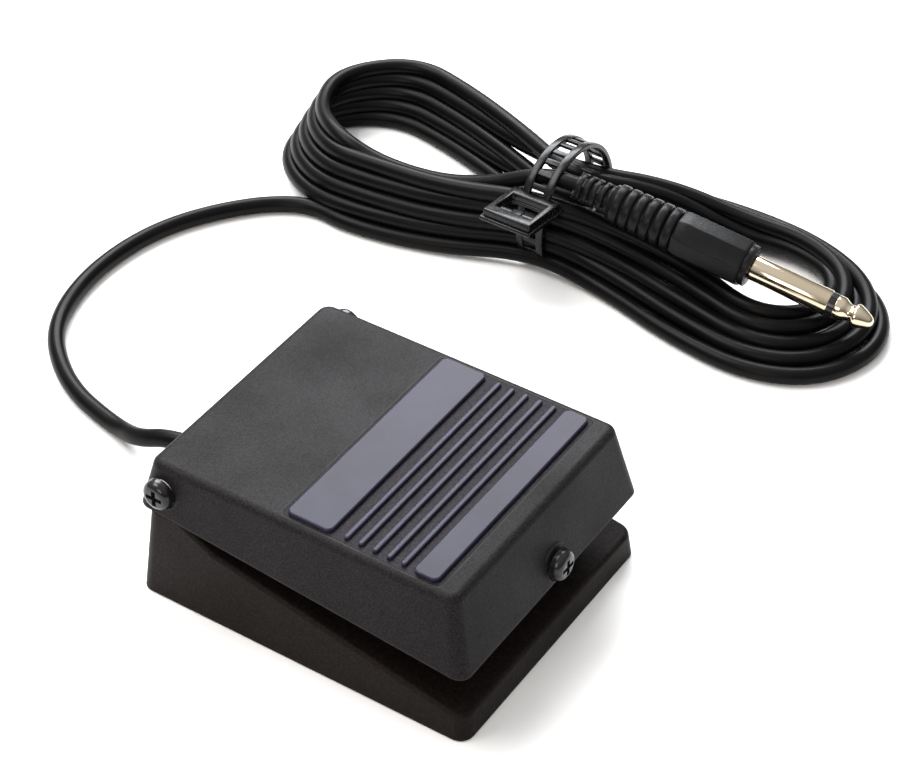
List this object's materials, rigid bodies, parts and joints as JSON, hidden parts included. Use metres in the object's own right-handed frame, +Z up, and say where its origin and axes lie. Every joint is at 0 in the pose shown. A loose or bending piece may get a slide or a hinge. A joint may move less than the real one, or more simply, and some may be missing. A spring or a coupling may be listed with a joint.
{
  "type": "sustain pedal",
  "caption": "Square foot-operated sustain pedal: hinged cover with a ribbed tread on a wedge base, coiled cord held by a strap, and a phone plug.",
  "frame": {"origin": "centre of the base's underside, on the floor", "axes": "+Z up; -Y towards the front, the pressed end; +Y towards the hinge and the cord; +X to the right"},
  "size_m": [0.1896, 0.1771, 0.0369],
  "materials": {
    "base_paint": "fine textured satin black paint on a casting",
    "cover_paint": "fine grained satin dark grey paint",
    "tread_rubber": "satin moulded rubber, slightly blue",
    "black_screws": "glossy black oxide",
    "zinc_sheet": "zinc plated sheet",
    "zinc_screws": "zinc plated",
    "foot_rubber": "matt, fine ribbed",
    "bumper_rubber": "matt",
    "nylon": "natural nylon",
    "spring_steel": "drawn wire",
    "switch_case": "moulded phenolic",
    "switch_button": "moulded",
    "switch_spring_strip": "thin rolled strip",
    "terminal_brass": "tinned at the tips",
    "clamp_plastic": "moulded",
    "wire_white": "smooth",
    "wire_red": "smooth",
    "relief_rubber": "satin moulded",
    "cord_jacket": "satin smooth",
    "tie_plastic": "smooth with a soft sheen",
    "plug_plastic": "fine matt moulding",
    "plug_nickel": "bright nickel plate",
    "plug_ring": "moulded"
  },
  "bodies": {
    "base": {"base_housing": "base_paint", "bottom_plate": "zinc_sheet", "bottom_plate_screws": "zinc_screws", "non_slip_sheet": "foot_rubber", "pivot_screw_left": "black_screws", "pivot_screw_right": "black_screws", "guide_bracket": "zinc_sheet", "guide_bracket_screws": "zinc_screws", "down_stop_bumpers": "bumper_rubber", "return_spring": "spring_steel", "switch_body": "switch_case", "switch_terminals": "terminal_brass", "switch_bracket": "zinc_sheet", "switch_screws": "zinc_screws", "switch_bracket_screws": "zinc_screws", "cord_grommet": "relief_rubber", "cord_inside": "cord_jacket", "cord_clamp": "clamp_plastic", "cord_clamp_screws": "zinc_screws", "wire_common": "wire_white", "wire_make": "wire_red", "cord_lead": "cord_jacket", "cord_hank": "cord_jacket", "cable_tie": "tie_plastic", "plug_body": "plug_plastic", "plug_sleeve": "plug_nickel", "plug_insulator": "plug_ring", "plug_tip": "plug_nickel"},
    "cover": {"pedal_cover": "cover_paint", "tread_mat": "tread_rubber", "pivot_bush_left": "nylon", "pivot_bush_right": "nylon", "front_screw": "black_screws", "front_nut": "zinc_screws", "stop_sleeve": "nylon"},
    "lever": {"switch_lever": "switch_spring_strip"},
    "button": {"switch_button": "switch_button"}
  },
  "joints": [
    {"name": "pedal_hinge", "type": "hinge", "parent": "base", "child": "cover", "pos_m": [0, 0.0343, 0.0298], "axis": [1, 0, 0], "range_deg": [0, 5.5], "stiffness_Nm_per_rad": 2.3, "springref_deg": -9.45, "deforming": ["return_spring"]},
    {"name": "lever_hinge", "type": "hinge", "parent": "base", "child": "lever", "pos_m": [0.012, 0.0142, 0.0281], "axis": [1, 0, 0], "range_deg": [0, 12.2]},
    {"name": "button_slide", "type": "slide", "parent": "base", "child": "button", "axis": [0, 0, -1], "range_m": [0, 0.0011]}
  ],
  "couplings": [
    {"joint": "lever_hinge", "follows": "pedal_hinge", "ratio": 2.2},
    {"joint": "button_slide", "follows": "pedal_hinge", "m_per_rad": 0.0114}
  ]
}
